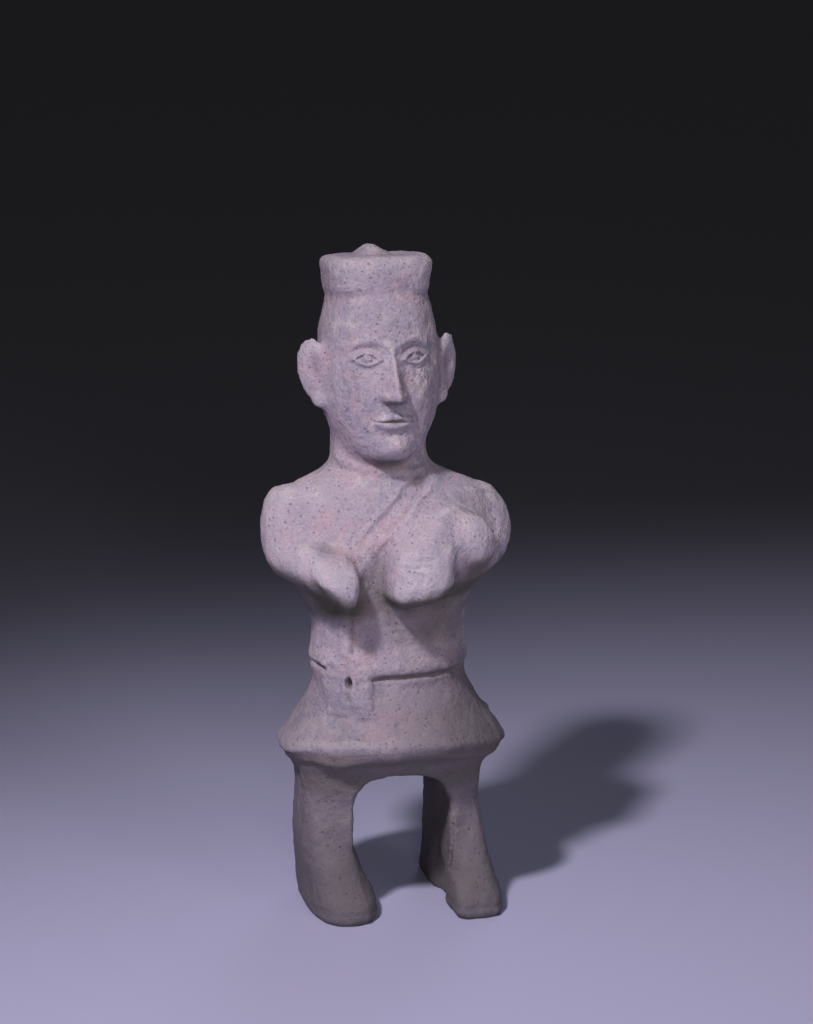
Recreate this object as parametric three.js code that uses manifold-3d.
// A standing pottery figurine of a man in a flat cap and a belted tunic, made as one solid of fired clay.
// Millimetres, +Z up. The figure faces -Y, and its right hand is on the -X side.
// The origin is at the middle of its footprint box, on the ground.
import * as THREE from "three";
import { mergeVertices } from "three/addons/utils/BufferGeometryUtils.js";
import Module from "manifold-3d";

// Heights above the ground
const instepHeight = 27;
const archTop = 54;
const hemHeight = 61.5;
const beltFoot = 88.5;
const waistHeight = 106;
const elbowHeight = 134;
const shoulderHeight = 144;
const collarHeight = 161.5;
const chinHeight = 165.5;

// Widths from side to side, and depths in front of the body's middle and behind it
const hipWide = 67;
const hipFront = 19;
const hipBack = 26;
const archWide = 35.6;
const archRound = 16; // the arch's corner on the figure's left, its width, and the corner on the right
const archRoundWide = 21;
const archSweep = 14;
const hemWide = 82;
const hemFront = 31.5;
const hemBack = 31.5;
const waistWide = 55;
const waistFront = 20.5;
const waistBack = 20.5;
const chestWide = 79;
const chestFront = 21.5;
const chestBack = 20.5;
const neckWide = 35;
const neckDeep = 29;

// How far each part of the body stands to the figure's left, and how far the neck stands behind the feet
const archShift = 0.4;
const waistShift = -1;
const chestShift = -1.5;
const neckShift = -3.6;
const neckBack = 2.5;

// Boots: outer and inner sides of the soles, and how far the toes and heels reach
const rightSole = { outer: -32.5, inner: -7, toe: 25.8, heel: 27, square: 2.6 };
const leftSole = { outer: 38.2, inner: 17, toe: 29.5, heel: 28, square: 3.1 };
const soleRound = 4;
const hollowRound = 12;
const soleWaist = 4.2; // how far the inner side is hollowed between heel and toes

// Arms and hands
const armThick = 23;
const wristThick = 18;
const armSpread = 91; // from one outer arm to the other
// Each level of a fist is its height, its edges on the figure's right and left, and its front's reach.
// thin is what the forearm lacks in thickness.
const fistRoot = 14; // how far in front of the body's middle line a fist's sections are centred
const rightFist = {
  x: -25.2, reach: 27, z: 126.5, thin: 1.8,
  levels: [
    [117, -25.1, -20.1, 30.9],
    [119.5, -27.2, -18.6, 33.4],
    [123.5, -30.8, -17.4, 34.8],
    [127.5, -34, -16.9, 34.8],
    [131, -35.6, -17.1, 32.5],
    [134, -34.8, -18.6, 28.5],
    [136.5, -33, -20, 23],
  ],
};
const leftFist = {
  x: 4.6, reach: 28, z: 128.3, thin: 0,
  levels: [
    [118, -5.1, 5.4, 31.9],
    [119.5, -7.6, 9.4, 35.4],
    [122, -8.6, 13.9, 37.4],
    [126, -8.6, 16.9, 38.4],
    [131, -8.1, 17.4, 37.9],
    [136, -7.6, 18.4, 35.4],
    [141, -5.6, 20.4, 31],
    [146, -2.6, 21.4, 26.5],
    [150.5, 1.4, 20.4, 22],
  ],
};
const foldAt = [19.5, -19.5, 137]; // a full fold of sleeve between the left fist and the elbow
const foldHalf = [14, 10.5, 12];
const shoulderTilt = 1.8; // how far the right shoulder stands above a level line, and the left below it

// Head, measured up from the chin
const headTall = 72;
const headWide = 43;
const headDeep = 44;
const headTilt = THREE.MathUtils.degToRad(5);
const capFoot = 58.2;
const earOut = 7;
const earThick = 5;
const earAhead = 2.5; // how far they stand in front of the head's middle

// Cap
const capWide = 36.1;
const capTall = 12.6;
const capFlare = 0.8;
const capEdge = 2.6;
const ridgeTall = 3.6;
const ridgeWide = 17;
const ridgeLong = 24;
const ridgeShift = 1.5;

// Dress and its low relief
const hemThick = 4.4;
const hemLift = 4.2; // how much higher the hem is at the middle of the front
const beltTall = 9;
const beltProud = 1.6;
const collarTall = 3;
const collarProud = 1;
const lapelWide = 5.6; // the rim and the sunk strip beside it
const lapelRim = 2;
const lapelProud = 1.2;
const lapelSunk = 1;
const sashLeft = -27.8;
const sashWide = 15.2;
const sashDrop = 9.5; // how far the tied ends hang below the belt
const sashProud = 2.3;
const knotTall = 7;
const slotWide = 2.2;
const slotTall = 4.4;
const slotDeep = 4;

const rowPitch = 5.2; // the most that smooth rows lie apart
const bodySides = 26;
const legSides = 16;
const limbSides = 12;
const trimSides = 5;

const wasm = await Module();
wasm.setup();

function solidOf(geometry) {
  const bare = geometry.clone();
  bare.deleteAttribute("normal");
  bare.deleteAttribute("uv");
  const merged = mergeVertices(bare, 1e-4);
  return new wasm.Manifold(
    new wasm.Mesh({
      numProp: 3,
      vertProperties: merged.attributes.position.array,
      triVerts: new Uint32Array(merged.index.array),
    }),
  );
}

function geometryOf(solid) {
  const mesh = solid.getMesh();
  const points = new Float32Array(mesh.numVert * 3);
  for (let i = 0; i < mesh.numVert; i++) {
    points.set(mesh.vertProperties.subarray(i * mesh.numProp, i * mesh.numProp + 3), i * 3);
  }
  return new THREE.BufferGeometry()
    .setAttribute("position", new THREE.BufferAttribute(points, 3))
    .setIndex(new THREE.BufferAttribute(mesh.triVerts, 1));
}

function union(solids) {
  return wasm.Manifold.union(solids);
}

const mix = THREE.MathUtils.lerp;

// One level section of a body: its half width, and its depth in front of and behind its middle.
// square is the exponent of its outline: 2 is an ellipse, and more is boxier.
// lift raises the middle of its front.
function row(z, wide, front, back, more = {}) {
  return { x: 0, y: 0, square: 2.2, lift: 0, ...more, z, wide, front, back };
}

function catmull(a, b, c, d, t) {
  const bend = (3 * b - 3 * c + d - a) * t + (2 * a - 5 * b + 4 * c - d);
  return b + 0.5 * t * (c - a + t * bend);
}

// Adds smooth rows between the given ones.
function smoothRows(keys) {
  const rows = [];
  for (let i = 0; i < keys.length - 1; i++) {
    const after = keys[Math.min(i + 2, keys.length - 1)];
    const four = [keys[Math.max(i - 1, 0)], keys[i], keys[i + 1], after];
    const perGap = Math.max(1, Math.round((keys[i + 1].z - keys[i].z) / rowPitch));
    for (let k = 0; k < perGap; k++) {
      const made = {};
      for (const name of Object.keys(keys[i])) made[name] = catmull(...four.map((r) => r[name]), k / perGap);
      made.z = mix(keys[i].z, keys[i + 1].z, k / perGap);
      rows.push(made);
    }
  }
  rows.push(keys[keys.length - 1]);
  return rows;
}

// Skins a stack of closed rings, each with as many points, and closes both ends with a fan.
function skin(rings) {
  const count = rings[0].length;
  const points = rings.flat();
  const faces = [];
  for (let r = 0; r < rings.length - 1; r++) {
    for (let i = 0; i < count; i++) {
      const a = r * count + i;
      const b = r * count + ((i + 1) % count);
      faces.push(a, b, b + count, a, b + count, a + count);
    }
  }
  for (const end of [0, rings.length - 1]) {
    const middle = rings[end].reduce((sum, p) => sum.add(p), new THREE.Vector3()).divideScalar(count);
    const tip = points.push(middle) - 1;
    for (let i = 0; i < count; i++) {
      const a = end * count + i;
      const b = end * count + ((i + 1) % count);
      faces.push(...(end === 0 ? [b, a, tip] : [a, b, tip]));
    }
  }
  return new THREE.BufferGeometry().setFromPoints(points).setIndex(faces);
}

function loft(rows, sides = bodySides) {
  const rings = rows.map((r) =>
    Array.from({ length: sides }, (_, i) => {
      const angle = (2 * Math.PI * i) / sides;
      const c = Math.cos(angle);
      const s = Math.sin(angle);
      const across = Math.sign(c) * Math.abs(c) ** (2 / r.square) * r.wide;
      const along = Math.sign(s) * Math.abs(s) ** (2 / r.square) * (s < 0 ? r.front : r.back);
      const up = s < 0 ? r.lift * s * s : 0;
      return new THREE.Vector3(r.x + across, r.y + along, r.z + up);
    }),
  );
  return skin(rings);
}

// A limb: rings square to a smooth path, with round ends. Each stop is a point and two radii.
// Its wide radius lies nearest to the given direction, which the path never follows.
function limb(stops, direction, steps = 14, sides = limbSides) {
  const path = new THREE.CatmullRomCurve3(stops.map((s) => s.at));
  const rings = [];
  for (let k = 0; k <= steps; k++) {
    const t = 0.5 - 0.5 * Math.cos((Math.PI * k) / steps);
    const place = t * (stops.length - 1);
    const i = Math.min(Math.floor(place), stops.length - 2);
    const close = [0.28, 0.72, 0.94][Math.min(k, steps - k)] ?? 1;
    const wide = mix(stops[i].wide, stops[i + 1].wide, place - i) * close;
    const tall = mix(stops[i].tall, stops[i + 1].tall, place - i) * close;
    const along = path.getTangent(t);
    const rise = new THREE.Vector3().crossVectors(along, direction).normalize();
    const side = new THREE.Vector3().crossVectors(rise, along).normalize();
    rings.push(
      Array.from({ length: sides }, (_, n) => {
        const angle = (2 * Math.PI * n) / sides;
        return path
          .getPoint(t)
          .addScaledVector(rise, Math.cos(angle) * tall)
          .addScaledVector(side, -Math.sin(angle) * wide);
      }),
    );
  }
  return skin(rings);
}

function egg([x, y, z], halfWide, halfDeep, halfTall, turn = [0, 0, 0], sides = 11) {
  return new THREE.SphereGeometry(1, sides, Math.round(sides * 0.7))
    .scale(halfWide, halfDeep, halfTall)
    .applyMatrix4(new THREE.Matrix4().makeRotationFromEuler(new THREE.Euler(...turn)))
    .translate(x, y, z);
}

// The same body with its surface moved out by a distance, or in where it is negative.
function grown(rows, by) {
  return rows.map((r) => ({ ...r, wide: r.wide + by, front: r.front + by, back: r.back + by }));
}

// The Y of a stack's front surface at one place seen from the front.
function frontOf(rows, x, z) {
  const above = rows.findIndex((r) => r.z > z);
  const i = THREE.MathUtils.clamp(above < 0 ? rows.length - 2 : above - 1, 0, rows.length - 2);
  const t = THREE.MathUtils.clamp((z - rows[i].z) / (rows[i + 1].z - rows[i].z), 0, 1);
  const at = (name) => mix(rows[i][name], rows[i + 1][name], t);
  const share = Math.min(Math.abs(x - at("x")) / at("wide"), 0.98);
  return at("y") - at("front") * (1 - share ** at("square")) ** (1 / at("square"));
}

// An outline in the XZ plane, pushed forward through the front half of the figure.
function pushed(outline, depth = 2 * hemFront) {
  const slab = new THREE.ExtrudeGeometry(new THREE.Shape(outline), { depth, bevelEnabled: false });
  return slab.rotateX(Math.PI / 2);
}

// The outline of a strip along a smooth line in the XZ plane, between two distances to the line's left.
function strip(points, from, to, steps = 12) {
  const line = new THREE.SplineCurve(points.map(([x, z]) => new THREE.Vector2(x, z)));
  const edge = (away) =>
    Array.from({ length: steps + 1 }, (_, k) => {
      const along = line.getTangent(k / steps);
      return line.getPoint(k / steps).add(new THREE.Vector2(-along.y, along.x).multiplyScalar(away));
    });
  return [...edge(from), ...edge(to).reverse()];
}

function raised(rows, proud, outline) {
  return solidOf(loft(grown(rows, proud))).intersect(solidOf(pushed(outline)));
}

function sunk(rows, depth, outline) {
  return solidOf(pushed(outline)).subtract(solidOf(loft(grown(rows, -depth))));
}

// The legs as one block from the ground into the skirt, before the arch is cut through it.
const legRows = [
  row(0, hipWide * 0.48, hipFront * 0.86, hipBack * 1.16, { x: 0.4, square: 4 }),
  row(instepHeight, hipWide * 0.495, hipFront * 0.9, hipBack, { x: -1.3, square: 3.8 }),
  row(mix(instepHeight, archTop, 0.55), hipWide * 0.487, hipFront * 0.93, hipBack, { x: -1, square: 3.4 }),
  row(archTop - 3, hipWide / 2, hipFront * 1.08, hipBack, { x: -1, square: 2.8 }),
  row(hemHeight - 5, hipWide * 0.54, hipFront * 1.25, hipBack * 1.04, { x: -0.4, square: 2.3 }),
];

// The rounded opening between the legs, from front to back.
function arch() {
  const left = archShift - archWide / 2;
  const right = archShift + archWide / 2;
  const low = -archTop / 10;
  const outline = new THREE.Shape();
  outline.moveTo(left, low);
  outline.lineTo(right, low);
  outline.lineTo(right, archTop - archRound);
  outline.quadraticCurveTo(right, archTop, right - archRoundWide, archTop);
  outline.lineTo(left + archSweep, archTop);
  outline.quadraticCurveTo(left, archTop, left, archTop - archSweep);
  const depth = 4 * hemBack;
  return new THREE.ExtrudeGeometry(outline, { depth, bevelEnabled: false, curveSegments: 5 })
    .rotateX(Math.PI / 2)
    .translate(0, depth / 2, 0);
}

// One boot, whose shaft ends inside the leg above it. side is -1 for the figure's right and 1 for its left.
function boot(side, sole) {
  const outer = side * hipWide * 0.487 - 1;
  const inner = side * archWide * 0.5 + archShift;
  const shaft = { outer, inner, toe: hipFront * 0.8, heel: hipBack * 0.86 };
  const level = (z, share, inset = 0) => {
    const at = (name) => mix(sole[name], shaft[name], share);
    const wide = Math.abs(at("outer") - at("inner")) / 2 - inset;
    const middle = (at("outer") + at("inner")) / 2;
    const square = mix(sole.square, 3, share);
    return row(z, wide, at("toe") - inset, at("heel") - inset, { x: middle, square });
  };
  return loft(
    smoothRows([
      level(0, 0, soleRound * 0.3),
      level(soleRound * 0.6, 0),
      level(soleRound * 1.8, 0.1),
      level(instepHeight * 0.5, 0.42),
      level(instepHeight * 0.8, 0.7),
      level(instepHeight * 1.1, 0.93),
      level(instepHeight * 1.4, 1, 0.3),
      level(instepHeight * 1.7, 1, 1.4),
    ]),
    legSides,
  );
}

// What is hollowed out of a boot's inner side, between heel and toes.
function bootHollow(side, sole) {
  const deep = (sole.toe + sole.heel) * 0.26;
  const middle = sole.inner - side * (hollowRound - soleWaist);
  return egg([middle, (sole.heel - sole.toe) * 0.5, 0], hollowRound, deep, instepHeight * 1.3);
}

// The skirt flares from the belt to the hem, and below its thick edge it turns in to the hips.
const skirtTop = beltFoot + beltTall * 0.4;
const hem = (z, wide, deep, square = 2.2) =>
  row(z, (hemWide / 2) * wide, hemFront * deep, hemBack * deep, { square, x: 0.2, lift: hemLift });
const flare = (rise, share) => {
  const wide = mix(hemWide, waistWide * 0.97, share) / 2;
  const front = mix(hemFront, waistFront, share);
  const back = mix(hemBack, waistBack, share);
  return row(mix(hemHeight, beltFoot, rise), wide, front, back, { lift: hemLift * (1 - rise) * 0.6 });
};
const skirtRows = smoothRows([
  hem(hemHeight - hemThick * 1.9, 0.83, 0.7, 2.5),
  hem(hemHeight - hemThick * 1.3, 0.9, 0.84, 2.4),
  hem(hemHeight - hemThick * 0.75, 0.95, 0.945, 2.3),
  hem(hemHeight + hemThick * 0.1, 0.995, 0.99),
  hem(hemHeight + hemThick * 0.4, 1.012, 1),
  hem(hemHeight + hemThick * 1.1, 0.955, 0.95),
  flare(0.45, 0.53),
  flare(0.75, 0.84),
  row(beltFoot, waistWide * 0.485, waistFront, waistBack, { x: waistShift / 2 }),
  row(skirtTop, waistWide * 0.475, waistFront * 0.97, waistBack * 0.97, { x: waistShift }),
]);

// The upper body runs from inside the belt, where the tunic bulges over it, to inside the head.
const chest = (z, wide, deep, more) =>
  row(z, (chestWide / 2) * wide, chestFront * deep, chestBack * deep, { x: chestShift, ...more });
const neck = (z, wide, deep, more) => {
  const reach = (neckDeep / 2) * deep;
  return row(z, (neckWide / 2) * wide, reach, reach, { x: neckShift, y: neckBack, ...more });
};
const waist = (z, proud) =>
  row(z, waistWide / 2 + proud * 0.5, waistFront + proud, waistBack + proud * 0.6, { x: waistShift });
const chestRows = smoothRows([
  waist(beltFoot - 1, -beltProud),
  waist(beltFoot + 1, beltProud * 0.7),
  waist(beltFoot + beltTall * 0.55, beltProud),
  waist(mix(beltFoot, waistHeight, 0.8), 0),
  waist(waistHeight + 2, 0),
  chest(mix(waistHeight, elbowHeight, 0.38), 0.79, 0.98),
  chest(mix(waistHeight, elbowHeight, 0.7), 0.92, 1),
  chest(elbowHeight + 3, 1, 1),
  chest(shoulderHeight + 2, 0.98, 0.92),
  chest(mix(shoulderHeight, collarHeight, 0.55), 0.9, 0.8, { x: chestShift - 1, y: 0.5, square: 2.1 }),
  chest(mix(shoulderHeight, collarHeight, 0.8), 0.71, 0.73, { x: neckShift, y: 1.2, square: 2 }),
  neck(collarHeight, 1.1, 1.02),
  neck(collarHeight + collarTall, 1, 0.98),
  neck(chinHeight + headTall * 0.22, 0.92, 0.95, { y: neckBack + 1 }),
]);

// The front that the sash lies on, with no groove under the belt.
const sashRows = [
  ...skirtRows.filter((r) => r.z < beltFoot - 2),
  waist(beltFoot + 1, beltProud * 0.7),
  waist(beltFoot + beltTall * 0.55, beltProud),
  waist(waistHeight, 0),
];

// A ring round the neck, the edge of the tunic.
function collar() {
  return loft([
    neck(collarHeight - collarTall * 0.8, 1.14 + collarProud * 0.05, 1.06 + collarProud * 0.07),
    neck(collarHeight, 1.06 + collarProud * 0.07, 1.01 + collarProud * 0.09),
    neck(collarHeight + collarTall * 0.5, 1 + collarProud * 0.06, 0.97 + collarProud * 0.08),
    neck(collarHeight + collarTall, 0.97, 0.94),
  ]);
}

// The crossed lapel runs from the left shoulder over the chest, and turns down to the belt on the right.
const lapelTop = [neckShift + neckWide * 0.42, collarHeight + collarTall];
const lapelMiddle = [-11, elbowHeight + 5];
const lapelFoot = -19;
const lapelLine = [
  lapelTop,
  [mix(lapelTop[0], lapelMiddle[0], 0.5), mix(lapelTop[1], lapelMiddle[1], 0.5)],
  lapelMiddle,
  [mix(lapelMiddle[0], lapelFoot, 0.75), mix(waistHeight, elbowHeight, 0.55)],
  [lapelFoot, waistHeight + 4],
  [lapelFoot, beltFoot + beltTall * 0.7],
];

function tunic() {
  const rim = raised(chestRows, lapelProud, strip(lapelLine, -lapelRim / 2, lapelRim / 2));
  const beside = strip(lapelLine.slice(0, 4), lapelRim / 2, lapelWide - lapelRim / 2);
  const groove = sunk(chestRows, lapelSunk, beside);
  return solidOf(loft(chestRows)).subtract(groove).add(rim);
}

// One arm from the shoulder to the wrist, bent at the elbow and held forward.
function arm(side, fist) {
  const thick = armThick / 2;
  const wrist = wristThick / 2;
  const outer = chestShift + side * (armSpread / 2 - thick);
  const stop = (inward, y, z, wide, tall = wide) => ({
    at: new THREE.Vector3(mix(outer, fist.x, inward), y, z),
    wide,
    tall,
  });
  const along = (share) => mix(elbowHeight, fist.z, share);
  const lift = -side * shoulderTilt;
  return limb(
    [
      stop(0.26, 2, shoulderHeight + thick * 0.75 + lift, thick * 0.82),
      stop(0.06, 1.5, shoulderHeight + 0.8 + lift * 0.8, thick),
      stop(-0.01, -1, mix(elbowHeight, shoulderHeight, 0.35), thick),
      stop(0.05, -5, along(0.1), thick * 0.95),
      stop(0.35, -fist.reach * 0.52, along(0.45) + fist.thin * 0.6, mix(thick, wrist, 0.5) - fist.thin),
      stop(0.75, -fist.reach * 0.78, along(0.8) + fist.thin * 0.8, wrist - fist.thin * 0.6),
      stop(1, -fist.reach * 0.92, fist.z + wrist * 0.25, wrist * 0.8),
    ],
    new THREE.Vector3(1, 0, 0),
  );
}

// A worn fist, blunt below, that runs up into the forearm and the chest.
function hand(fist) {
  const rows = fist.levels.map(([z, left, right, reach]) =>
    row(z, (right - left) / 2, reach - fistRoot, fistRoot, { x: (left + right) / 2, y: -fistRoot, square: 3 }),
  );
  return solidOf(loft(rows, legSides));
}

// Head rows are in the head's own frame: its chin is at the origin.
const browHeight = headTall * 0.585;
const eyeHeight = headTall * 0.5;
const noseFoot = headTall * 0.295;
const mouthHeight = headTall * 0.2;
const halfHead = headWide / 2;
const faceDeep = headDeep / 2;
const eyeWide = headWide / 5;
const headRows = smoothRows([
  row(0, halfHead * 0.3, faceDeep * 0.84, -faceDeep * 0.3),
  row(headTall * 0.025, halfHead * 0.5, faceDeep * 0.94, faceDeep * 0.05),
  row(headTall * 0.1, halfHead * 0.76, faceDeep * 0.99, faceDeep * 0.4),
  row(headTall * 0.2, halfHead * 0.9, faceDeep, faceDeep * 0.66),
  row(headTall * 0.33, halfHead * 0.98, faceDeep * 0.99, faceDeep * 0.85),
  row(headTall * 0.46, halfHead, faceDeep * 0.98, faceDeep * 0.95),
  row(headTall * 0.58, halfHead * 0.97, faceDeep * 0.98, faceDeep),
  row(headTall * 0.7, halfHead * 0.9, faceDeep * 0.94, faceDeep * 0.98),
  row(capFoot, capWide / 2 - 1, faceDeep * 0.84, faceDeep * 0.9),
  row(capFoot + capTall * 0.5, capWide / 2 - 4, faceDeep * 0.7, faceDeep * 0.75),
]);

function onFace(x, z, out = 0) {
  return new THREE.Vector3(x, frontOf(headRows, x, z) - out, z);
}

// A low ridge across the face, thickest at its middle. Places are [x, z], and out is how far it stands out.
function trim(places, thick, out, ends = 0.5) {
  const stops = places.map(([x, z], i) => {
    const radius = thick * mix(ends, 1, Math.sin((Math.PI * i) / (places.length - 1)));
    return { at: onFace(x, z, out), wide: radius, tall: radius };
  });
  return limb(stops, new THREE.Vector3(0, 0, 1), 5, trimSides);
}

function eye(side) {
  const along = [-0.52, -0.27, 0, 0.27, 0.52];
  const arc = (rise) => along.map((t) => [side * eyeWide * (1 + t), eyeHeight + rise * (1 - 3.7 * t * t)]);
  const browOf = (t) => [side * eyeWide * (1 + t), browHeight + 1.2 * (1 - 3 * t * t)];
  const ball = onFace(side * eyeWide, eyeHeight, -1.5).toArray();
  return [
    egg(ball, eyeWide * 0.48, 2.7, 2.5, [0, 0, side * 0.25], 8),
    trim(arc(2.4), 0.95, -0.1),
    trim(arc(-2), 0.8, -0.15),
    trim([-0.62, -0.2, 0.25, 0.68].map(browOf), 1.3, -0.5),
  ];
}

function nose() {
  const place = (t) => mix(noseFoot + 1, eyeHeight + 2.5, t);
  const out = [1.9, 1.7, 0.5, -1];
  const thick = [3, 2.7, 2.1, 1.7];
  const stop = (t, i) => ({ at: onFace(0, place(t), out[i]), wide: thick[i], tall: thick[i] });
  const bridge = [0, 0.3, 0.65, 1].map(stop);
  const wing = (side) => onFace(side * (eyeWide / 2 - 1.9), noseFoot + 2, 1).toArray();
  const wings = [-1, 1].map((side) => egg(wing(side), 2.1, 3, 2, [0, 0, side * 0.4], 8));
  return [limb(bridge, new THREE.Vector3(1, 0, 0), 7, 8), ...wings];
}

function mouth() {
  const reach = headWide * 0.15;
  const curve = (t, rise, bow) => mouthHeight + rise * (1 - t * t) + bow * Math.abs(t) * (1 - Math.abs(t));
  const lip = (rise, bow) => [-1, -0.5, 0, 0.5, 1].map((t) => [t * reach, curve(t, rise, bow)]);
  return [
    trim(lip(1.3, 1.4), 1.3, -0.15, 0.35),
    trim(lip(-1.7, -0.4), 1.4, -0.1, 0.35),
    egg(onFace(0, headTall * 0.08, -2.8).toArray(), 6.5, 4, 4.4, [0, 0, 0], 8),
  ];
}

function ear(side) {
  const tall = browHeight - noseFoot;
  const middle = (browHeight + noseFoot) / 2;
  const turn = [0.08, side * 0.08, side * -0.75];
  const out = side * (halfHead + earOut * 0.3);
  const shell = egg([out, -earAhead, middle], earThick / 2, earOut, tall * 0.56, turn, 10);
  const lobe = egg([side * (halfHead + 0.4), -earAhead - 1, noseFoot + 1], 2.4, 3.6, 4.5, turn, 8);
  const hollow = egg([out + side * 0.9, -earAhead - 3, middle + tall * 0.06], 1.8, 3.4, tall * 0.3, turn, 8);
  return { add: [shell, lobe], cut: hollow };
}

// The cap: a stiff band that widens a little upwards, a flat crown, and a low ridge like a roof on it.
function cap() {
  const top = capFoot + capTall;
  const half = capWide / 2;
  const deeper = 0.8;
  const band = (z, out, square) => {
    const reach = half + out + deeper;
    return row(z, half + out, reach, reach, { square, y: 0.5 });
  };
  const crown = loft([
    band(capFoot - 0.8, -2, 2.4),
    band(capFoot, -0.5, 2.6),
    band(capFoot + 1.4, 0, 2.8),
    band(top - capEdge, capFlare, 3),
    band(top - capEdge * 0.35, capFlare - capEdge * 0.3, 3),
    band(top, capFlare - capEdge, 2.9),
  ]);
  const across = ridgeWide / 2;
  const along = ridgeLong / 2;
  const slope = (rise, share) => {
    const reach = along * mix(share, 1, 0.3);
    return row(top - 1 + rise * (ridgeTall + 1), across * share, reach, reach, { x: -ridgeShift, y: 1.5 });
  };
  const ridge = loft([slope(0, 1), slope(0.35, 0.68), slope(0.8, 0.3), slope(1, 0.12)], legSides);
  return [crown, ridge];
}

function head() {
  const ears = [ear(-1), ear(1)];
  const skull = loft(headRows, 22);
  const face = [...eye(-1), ...eye(1), ...nose(), ...mouth()];
  const added = [skull, ...face, ...cap(), ...ears.flatMap((e) => e.add)];
  const whole = union(added.map(solidOf)).subtract(union(ears.map((e) => solidOf(e.cut))));
  return solidOf(geometryOf(whole).rotateX(-headTilt).translate(neckShift, 0, chinHeight));
}

// The sash is knotted on the figure's right, and its two ends hang side by side over belt and skirt.
function sash() {
  const top = beltFoot + knotTall;
  const foot = beltFoot - sashDrop;
  const split = sashLeft + sashWide * 0.42;
  const right = sashLeft + sashWide;
  const corner = ([x, z]) => new THREE.Vector2(x, z);
  const tab = (from, to, low) => [[from, low], [to, low], [to, top], [from, top]].map(corner);
  const ends = [
    raised(sashRows, sashProud * 0.7, tab(sashLeft, split, foot + 1)),
    raised(sashRows, sashProud, tab(split, right, foot)),
  ];
  const knots = [mix(sashLeft, split, 0.5), mix(split, right, 0.4)].map((x) =>
    solidOf(egg([x, frontOf(sashRows, x, top) + 0.8, top - 1.2], sashWide * 0.24, 3.4, 2.6, [0, 0, 0], 8)),
  );
  return union([...ends, ...knots]);
}

// A small pocket between the sash's ends, where a separate blade could be stuck.
function slot() {
  const x = sashLeft + sashWide * 0.47;
  const z = beltFoot;
  return egg([x, frontOf(sashRows, x, z) - sashProud, z], slotWide / 2, slotDeep, slotTall / 2);
}

function figurine() {
  const legs = solidOf(loft(legRows)).subtract(solidOf(arch()));
  const boots = [boot(-1, rightSole), boot(1, leftSole)];
  const hollow = solidOf(bootHollow(1, leftSole));
  const arms = [arm(-1, rightFist), arm(1, leftFist)];
  const hands = [hand(rightFist), hand(leftFist), solidOf(egg(foldAt, ...foldHalf))];
  const clothes = [loft(skirtRows), collar()];
  const bare = [...boots, ...arms, ...clothes].map(solidOf);
  const added = union([legs, tunic(), ...bare, ...hands, sash(), head()]);
  const whole = added.subtract(union([solidOf(slot()), hollow]));
  const geometry = geometryOf(whole);
  geometry.computeBoundingBox();
  const { min, max } = geometry.boundingBox;
  geometry.translate(-(min.x + max.x) / 2, -(min.y + max.y) / 2, -min.z);
  geometry.computeVertexNormals();
  return geometry;
}

const clay = new THREE.MeshStandardMaterial({ color: 0x9c9296, roughness: 0.95, metalness: 0 });
const mesh = new THREE.Mesh(figurine(), clay);
mesh.name = "figurine";
const group = new THREE.Group();
group.add(mesh);

export default group;
